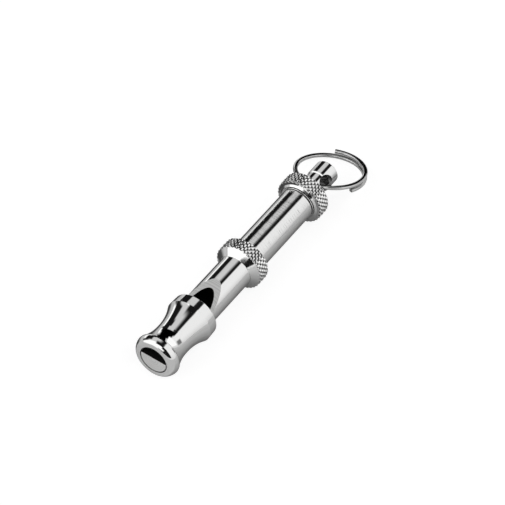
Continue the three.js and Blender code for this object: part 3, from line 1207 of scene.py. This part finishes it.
@dataclass
class Plunger(Assembly):
    """Plunger with its seal and the clip that holds the screw's head."""

    front: float = 31.0
    end: float = 36.0
    radius: float = 3.65
    end_round: float = 0.15
    groove_front: float = 32.0
    groove_end: float = 32.7
    groove: float = 3.05
    groove_round: float = 0.04
    clip_seat: float = 2.55
    clip_play: float = 0.05
    clip_front: float = 35.4
    clip_end: float = 35.9
    clip: float = 2.5
    clip_bore: float = 1.1
    clip_round: float = 0.06
    pocket: float = 1.7
    pocket_front: float = 32.85
    seal: float = 3.725
    seal_bore: float = 3.1
    seal_front: float = 32.05
    seal_end: float = 32.65
    seal_round: float = 0.2

    def build(self) -> list[Piece]:
        """Makes the plunger, the seal and the clip.

        Returns:
            The three pieces.
        """
        shelf = self.clip_front - self.clip_play
        outline = [
            Corner(self.front, 0),
            Corner(self.front, self.radius, self.end_round),
            Corner(self.groove_front, self.radius, self.groove_round),
            Corner(self.groove_front, self.groove),
            Corner(self.groove_end, self.groove),
            Corner(self.groove_end, self.radius, self.groove_round),
            Corner(self.end, self.radius, self.end_round),
            Corner(self.end, self.clip_seat, self.groove_round),
            Corner(shelf, self.clip_seat),
            Corner(shelf, self.pocket),
            Corner(self.pocket_front, self.pocket),
            Corner(self.pocket_front, 0),
        ]
        band = hoop(self.seal_front, self.seal_end, self.seal, self.seal_bore, self.seal_round)
        washer = hoop(self.clip_front, self.clip_end, self.clip, self.clip_bore, self.clip_round)
        head = turned("plunger_body", outline, (BRASS,), FEW_SIDES)
        seal = turned("seal_band", band, (RUBBER,), FEW_SIDES)
        clip = turned("screw_clip", washer, (SPRING,), FEW_SIDES)
        return [
            Piece(head, Body.PLUNGER, Slot.BRASS, "plunger_head"),
            Piece(seal, Body.PLUNGER, Slot.RUBBER, "plunger_seal"),
            Piece(clip, Body.PLUNGER, Slot.SPRING, "plunger_clip"),
        ]


@dataclass
class Screw(Assembly):
    """Tuning screw with its thread, and the stud on its end with the flared eye."""

    head_front: float = 32.95
    head_end: float = 35.3
    head: float = 1.55
    neck: float = 0.95
    rod_front: float = 36.1
    rod_end: float = 72.075
    rod_sides: int = 48
    lead_in: float = 0.3
    crest: float = 1.99
    crest_margin: float = 0.05
    root: float = 1.72
    lead: float = 0.5
    flank: Span = (0.15, 0.85)
    cuts: int = 6
    stud_front: float = 69.8
    stud_neck: float = 3.05
    stud_step: float = 75.35
    stud_head: float = 3.35
    stud_end: float = 80.0
    stud_bevel: float = 0.3
    stud_round: float = 0.08
    stud_seat: float = 2.05
    stud_seat_end: float = 72.175
    eye_place: float = 74.7
    eye: float = 1.925
    eye_land: float = 2.5
    eye_round: float = 0.6
    eye_flare: float = math.radians(35)
    eye_turn: float = math.radians(59.5)

    def build(self) -> list[Piece]:
        """Makes the screw and the stud."""
        return [
            Piece(self._screw(), Body.SCREW, Slot.TURNED, "tuning_screw"),
            Piece(self._stud(), Body.SCREW, Slot.POLISHED, "eye_stud"),
        ]

    def _screw(self) -> bpy.types.Object:
        """Makes the screw and cuts its thread by a rule.

        Returns:
            The new object.
        """
        start = self.rod_front + self.lead_in
        steps = round((self.rod_end - start) / self.lead * self.cuts)
        places = [start + (self.rod_end - start) * step / steps for step in range(steps + 1)]
        outline = [
            Corner(self.head_front, 0),
            Corner(self.head_front, self.head, EDGE),
            Corner(self.head_end, self.head, EDGE),
            Corner(self.head_end, self.neck),
            Corner(self.rod_front, self.neck),
            Corner(self.rod_front, self.root),
            *(Corner(place, self.crest) for place in places),
            Corner(self.rod_end, 0),
        ]
        shape = turned("adjusting_screw", outline, sides=self.rod_sides)
        inputs = {"Lead": self.lead, "Crest": self.crest, "Depth": self.crest - self.root}
        rule = Rule("screw_thread", inputs)
        x, y, z = rule.place()
        phase = x / MM / rule.given("Lead") - rule.tree.math("ARCTAN2", z, y) / math.tau
        rod = rule.given("Crest") - self.crest_margin
        outer = rule.tree.math("GREATER_THAN", rule.reach() / MM, rod)
        sink = phase.wave().rise(*self.flank) * outer * rule.given("Depth") * MM
        rule.lay(shape, rule.push(-sink), THREADED)
        return shape

    def _stud(self) -> bpy.types.Object:
        """Makes the stud and cuts the eye across it.

        Returns:
            The new object.
        """
        outline = [
            Corner(self.stud_front, self.stud_seat),
            Corner(self.stud_front, self.stud_neck, EDGE),
            Corner(self.stud_step - self.stud_bevel, self.stud_neck, EDGE),
            Corner(self.stud_step, self.stud_head, EDGE),
            Corner(self.stud_end - self.stud_bevel, self.stud_head, self.stud_round),
            Corner(self.stud_end, self.stud_head - self.stud_bevel, self.stud_round),
            Corner(self.stud_end, 0),
            Corner(self.stud_seat_end, 0),
            Corner(self.stud_seat_end, self.stud_seat),
        ]
        stud = turned("stud_with_eye", outline, (POLISHED, EYE_BORE))
        reach = self.stud_head + OVERSHOOT
        mouth = self.eye + (reach - self.eye_land) * math.tan(self.eye_flare)
        drill = [
            Corner(-reach, 0),
            Corner(-reach, mouth),
            Corner(-self.eye_land, self.eye, self.eye_round),
            Corner(self.eye_land, self.eye, self.eye_round),
            Corner(reach, mouth),
            Corner(reach, 0),
        ]
        tool = turned("eye_cut", drill, (EYE_BORE,), FEW_SIDES)
        aim = Vector((0.0, -math.sin(self.eye_turn), math.cos(self.eye_turn)))
        lie = Vector((1.0, 0.0, 0.0)).rotation_difference(aim).to_matrix().to_4x4()
        tool.data.transform(Matrix.Translation((self.eye_place * MM, 0.0, 0.0)) @ lie)
        cut(stud, tool)
        return stud


@dataclass
class LockNut(Assembly):
    """Knurled lock nut and the captive washer in its front."""

    front: float = 65.75
    rear: float = 70.1
    front_radius: float = 5.15
    lip: float = 0.38
    lip_edge: float = 5.65
    brow: float = 0.4
    recess: float = 4.35
    thread: float = 2.15
    thread_front: float = 66.15
    thread_end: float = 68.5
    counterbore: float = 3.2
    washer: float = 4.2
    washer_end: float = 66.05

    def build(self) -> list[Piece]:
        """Makes the nut and the washer.

        Returns:
            Both pieces.
        """
        bore = (
            Corner(self.rear, self.counterbore, EDGE),
            Corner(self.thread_end, self.counterbore),
            Corner(self.thread_end, self.thread),
            Corner(self.thread_front, self.thread),
            Corner(self.thread_front, self.recess),
            Corner(self.front, self.recess, FINE),
        )
        nut = KnurledCollar(
            name="rear_collar",
            front=self.front,
            rear=self.rear,
            cone=self.lip,
            front_radius=self.front_radius,
            bore=bore,
            cone_edge=self.lip_edge,
            brow=self.brow,
        ).build()
        ring = hoop(self.front, self.washer_end, self.washer, self.thread, EDGE)
        washer = turned("captive_washer", ring, (SPRING,), FEW_SIDES)
        return [
            Piece(nut, Body.NUT, Slot.KNURLED, "lock_nut"),
            Piece(washer, Body.WASHER, Slot.SPRING, "lock_washer"),
        ]


@dataclass
class SplitRing(Assembly):
    """Flat wire wound a turn and a third, through the eye."""

    radius: float = 9.26
    wire_width: float = 1.22
    wire_thickness: float = 0.99
    wire_steps: int = 420
    section_steps: int = 56
    flatness: float = 3.2
    layer_step: float = 1.45
    overlap: float = math.radians(136)
    first: float = math.radians(18.5)
    centre: float = 8.35
    drop: float = 0.72
    lean: float = math.radians(-7.5)
    droop: float = math.radians(14)
    yaw: float = math.radians(6)
    eye_place: float = 74.7

    def build(self) -> list[Piece]:
        """Winds the wire by a rule.

        Returns:
            The ring.
        """
        shape = new_shape("wound_ring", bmesh.new())
        turn = Matrix.Rotation(self.lean, 3, "X") @ Matrix.Rotation(self.droop, 3, "Y")
        turn = turn @ Matrix.Rotation(self.yaw, 3, "Z")
        inputs = {
            "Radius": self.radius * MM,
            "Layer Step": self.layer_step * MM,
            "Overlap": self.overlap,
            "First": self.first,
            "Width": self.wire_width * MM,
            "Thickness": self.wire_thickness * MM,
            "Seat": (self.centre * MM, 0.0, -self.drop * MM),
            "Eye": (self.eye_place * MM, 0.0, 0.0),
            "Turn": tuple(turn.to_euler("XYZ")),
        }
        rule = Rule("wound_wire", inputs)
        seat = {"Geometry": self._sweep(rule), "Translation": rule.start.outputs["Seat"]}
        hang = {
            "Geometry": rule.tree.node("GeometryNodeTransform", feeds=seat).outputs[0],
            "Translation": rule.start.outputs["Eye"],
            "Rotation": rule.start.outputs["Turn"],
        }
        rule.lay(shape, rule.tree.node("GeometryNodeTransform", feeds=hang).outputs[0], WIRE)
        return [Piece(shape, Body.RING, Slot.RING, "split_ring")]

    def _sweep(self, rule: Rule) -> bpy.types.NodeSocket:
        """Sweeps the wire's section along its winding.

        Args:
            rule: Rule that holds the wire's sizes.

        Returns:
            Socket with the swept wire about the ring's own centre.
        """
        swept = {"Curve": self._winding(rule), "Profile Curve": self._section(rule), "Fill Caps": True}
        return rule.tree.node("GeometryNodeCurveToMesh", feeds=swept).outputs[0]

    def _winding(self, rule: Rule) -> bpy.types.NodeSocket:
        """Winds the wire's middle line: a turn, a passage from layer to layer, and the overlap.

        Args:
            rule: Rule that holds the wire's sizes.

        Returns:
            Socket with the curve.
        """
        tree = rule.tree
        line = tree.node("GeometryNodeCurvePrimitiveLine", feeds={"End": (1.0, 0.0, 0.0)})
        steps = {"Curve": line.outputs[0], "Count": self.wire_steps}
        fine = tree.node("GeometryNodeResampleCurve", feeds=steps)
        travelled = rule.place()[0] * (rule.given("Overlap") + math.tau)
        passage = travelled.rise(rule.given("Overlap"), math.tau)
        angle = rule.given("First") - travelled
        spot = tree.join(
            rule.given("Radius") * tree.math("COSINE", angle),
            rule.given("Radius") * tree.math("SINE", angle),
            rule.given("Layer Step") * (0.5 - passage),
        )
        wound = tree.node("GeometryNodeSetPosition", feeds={"Geometry": fine.outputs[0], "Position": spot})
        level = tree.node("GeometryNodeSetCurveNormal", {"mode": "Z_UP"}, {"Curve": wound.outputs[0]})
        return level.outputs[0]

    def _section(self, rule: Rule) -> bpy.types.NodeSocket:
        """Squares a circle to the wire's section, and marks how near each point is to an edge.

        Args:
            rule: Rule that holds the wire's sizes.

        Returns:
            Socket with the curve.
        """
        tree = rule.tree
        feeds = {"Resolution": self.section_steps}
        circle = tree.node("GeometryNodeCurvePrimitiveCircle", {"mode": "RADIUS"}, feeds)
        side, rise, _ = rule.place()
        # Nearness to the section's rounded edges, which the wire's finish darkens as a painted reflection of
        # the dark cards.
        marked = rule.mark(circle.outputs[0], EDGE_MARK, abs(side * rise) * 2.0)
        power = 2.0 / self.flatness
        spot = tree.join(
            tree.math("SIGN", side) * abs(side) ** power * rule.given("Width") * 0.5,
            tree.math("SIGN", rise) * abs(rise) ** power * rule.given("Thickness") * 0.5,
            0.0,
        )
        return tree.node("GeometryNodeSetPosition", feeds={"Geometry": marked, "Position": spot}).outputs[0]


@dataclass(frozen=True)
class Panel:
    """Card or lamp of the studio, by the directions that it covers; later ones cover earlier ones.

    The lean is the angle in degrees from straight up toward -Y, and along is the part of the direction on +X.
    """

    lean: Span
    along: Span
    level: float
    soft: Span = (3.0, 3.0)
    soft_along: Span = (0.03, 0.03)


@dataclass
class Studio:
    """Camera, floor and light."""

    lens: float = 224.06
    sensor: float = 36.0
    clip: Span = (0.01, 20.0)
    spot: Triple = (-418.53, -258.56, 606.38)
    right: Triple = (0.5539, -0.8297, 0.0691)
    up: Triple = (0.6025, 0.4567, 0.6546)
    floor_size: float = 3.0
    floor_tone: float = 0.925
    floor_glow: float = 0.85
    floor_shade: float = 0.3
    # Strips of painted shade on the floor along the whistle, standing in for its shadow, by their place
    # across it.
    shade_reach: float = 100.0
    shade_span: Span = (0.0, 90.0)
    shade_soft: Span = (4.0, 10.0)
    shade: tuple[Span, ...] = (
        (0.0, 0.975),
        (0.375, 0.83),
        (0.445, 0.615),
        (0.47, 0.40),
        (0.51, 0.36),
        (0.54, 0.77),
        (0.56, 0.10),
        (0.61, 0.13),
        (0.67, 0.82),
        (0.8, 1.0),
    )
    glow: float = 0.73
    panels: tuple[Panel, ...] = (
        # Pale cards on both sides and toward the mouth's end.
        Panel((16, 230), (-1.2, 1.2), 1.02),
        Panel((82, 230), (-1.2, 1.2), 0.70, (50.0, 3.0)),
        Panel((-200, -78), (-1.2, 1.2), 1.25),
        Panel((-200, 22), (-1.2, -0.22), 1.25),
        # Two dark bars along the whistle, one overhead and one toward +Y, with their wider parts.
        Panel((-95, -62), (-0.2, 0.1), 0.12, (4.0, 8.0), (0.05, 0.1)),
        Panel((-79, -46), (-0.07, 0.74), 0.01, (3.0, 7.0), (0.08, 0.03)),
        Panel((-5, 18), (-0.4, 0.74), 0.01, (20.0, 8.0)),
        Panel((-22, 18), (-0.45, 0.02), 0.01, (10.0, 8.0), (0.03, 0.35)),
        Panel((-60, -38), (0.38, 0.5595), 0.01, (3.0, 7.0), (0.15, 0.003)),
        # Dark cards toward the ring's end, and a lamp beside them.
        Panel((-68, 18), (0.66, 0.78), 0.0, (5.0, 8.0), (0.02, 0.06)),
        Panel((-73, 10), (0.72, 0.93), 0.0, (5.0, 8.0), (0.08, 0.03)),
        Panel((-100, -60), (0.82, 0.95), 0.0, (8.0, 3.0), (0.12, 0.03)),
        Panel((-90, -25), (0.9, 1.1), 0.0),
        Panel((-8, 75), (0.86, 1.1), 1.2, (6.0, 3.0)),
        # Dark cards toward the mouth's end.
        Panel((33, 81), (-1.2, -0.35), 0.01),
        Panel((14, 40), (-0.66, -0.33), 0.01, (6.0, 3.0), (0.1, 0.02)),
        Panel((-25, 40), (-1.2, -0.915), 0.08, (6.0, 3.0), (0.03, 0.006)),
        # Small grey card toward -Y and the ring's end.
        Panel((54, 84), (0.685, 0.83), 0.2, (12.0, 12.0), (0.05, 0.07)),
        # Short wider parts of both dark bars.
        Panel((-88, -51), (0.5945, 0.65), 0.01, (3.0, 4.0), (0.002, 0.03)),
        Panel((-8, 19), (0.5945, 0.65), 0.01, (3.0, 4.0), (0.002, 0.03)),
    )

    def build(self, ground: float) -> None:
        """Sets up the camera, the floor and the light.

        Args:
            ground: Height of the floor, in metres.
        """
        self._camera()
        self._floor(ground)
        self._light()
        bpy.context.scene.view_settings.view_transform = "Standard"

    def _camera(self) -> None:
        """Places the camera."""
        data = bpy.data.cameras.new("camera")
        data.lens = self.lens
        data.sensor_width = self.sensor
        data.clip_start, data.clip_end = self.clip
        camera = bpy.data.objects.new("camera", data)
        right = Vector(self.right).normalized()
        back = right.cross(Vector(self.up)).normalized()
        turn = Matrix((right, back.cross(right), back)).transposed().to_4x4()
        camera.matrix_world = Matrix.Translation(Vector(self.spot) * MM) @ turn
        bpy.context.scene.collection.objects.link(camera)
        bpy.context.scene.camera = camera

    def _floor(self, ground: float) -> None:
        """Lays the floor: white with a shadow to the camera, and paper with painted shade strips along the
        whistle to all other rays.

        Args:
            ground: Its height, in metres.
        """
        half = self.floor_size / 2
        mesh = bpy.data.meshes.new("pale_floor")
        corners = [(-half, -half, ground), (half, -half, ground), (half, half, ground), (-half, half, ground)]
        mesh.from_pydata(corners, [], [(0, 1, 2, 3)])
        floor = bpy.data.objects.new("pale_floor", mesh)
        bpy.context.scene.collection.objects.link(floor)
        material, tree = new_material("pale_paper")
        levels = (self.floor_tone, self.floor_shade, self.floor_glow)
        plain, shade, glow = ((level, level, level) for level in levels)
        # Painted shade: darker strips of paper along the whistle, in place of its shadow, seen by all rays
        # except the camera's.
        along, across, _ = tree.split(tree.place())
        spread = across / (2 * self.shade_reach) + 0.5
        painted_shade_strips = tree.node("ShaderNodeValToRGB", {"stops": self.shade}, {"Fac": spread})
        tone = tree.mix(along.band(self.shade_span, self.shade_soft), plain, painted_shade_strips.outputs["Color"])
        paper = {"Base Color": tone, "Roughness": 1.0, "Specular IOR Level": 0.0}
        matt = tree.node("ShaderNodeBsdfPrincipled", feeds=paper)
        dim = tree.node("ShaderNodeBsdfDiffuse", feeds={"Color": opaque(shade)})
        lit = tree.node("ShaderNodeEmission", feeds={"Color": opaque(glow), "Strength": 1.0})
        white = tree.node("ShaderNodeAddShader", feeds={0: dim.outputs[0], 1: lit.outputs[0]})
        tree.node("ShaderNodeOutputMaterial", feeds={"Surface": tree.to_camera(matt, white)})
        mesh.materials.append(material)
        floor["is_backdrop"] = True

    def _light(self) -> None:
        """Surrounds the object with a soft glow, lamps and dark cards, and shows the camera plain white."""
        world = bpy.data.worlds.new("studio")
        world.use_nodes = True
        bpy.context.scene.world = world
        tree = Tree(world.node_tree)
        x, y, z = tree.split(tree.node("ShaderNodeTexCoord").outputs["Generated"])
        lean = tree.math("ARCTAN2", -y, z) * math.degrees(1.0)
        level: Operand = self.glow
        for panel in self.panels:
            mask = lean.band(panel.lean, panel.soft) * x.band(panel.along, panel.soft_along)
            level = level + mask * (panel.level - level)
        glow = tree.node("ShaderNodeBackground", feeds={"Color": tree.join(level, level, level)})
        white = tree.node("ShaderNodeBackground", feeds={"Color": opaque((1.0, 1.0, 1.0))})
        tree.node("ShaderNodeOutputWorld", feeds={"Surface": tree.to_camera(glow, white)})


def as_lists(bounds: Iterable[Sequence[float]]) -> list[list[float]]:
    """Bounds as plain lists of numbers."""
    return [[float(part) for part in corner] for corner in bounds]


def main() -> None:
    """Builds the whistle and its studio."""
    logging.basicConfig(level=logging.INFO, format="%(message)s")
    planned = as_lists(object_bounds())
    assemblies: tuple[Assembly, ...] = (
        Mouthpiece(),
        FrontTube(),
        Joint(),
        Plunger(),
        Screw(),
        LockNut(),
        SplitRing(),
    )
    for assembly in assemblies:
        assembly.dress()
    Studio().build(planned[0][2])


if __name__ == "__main__":
    main()
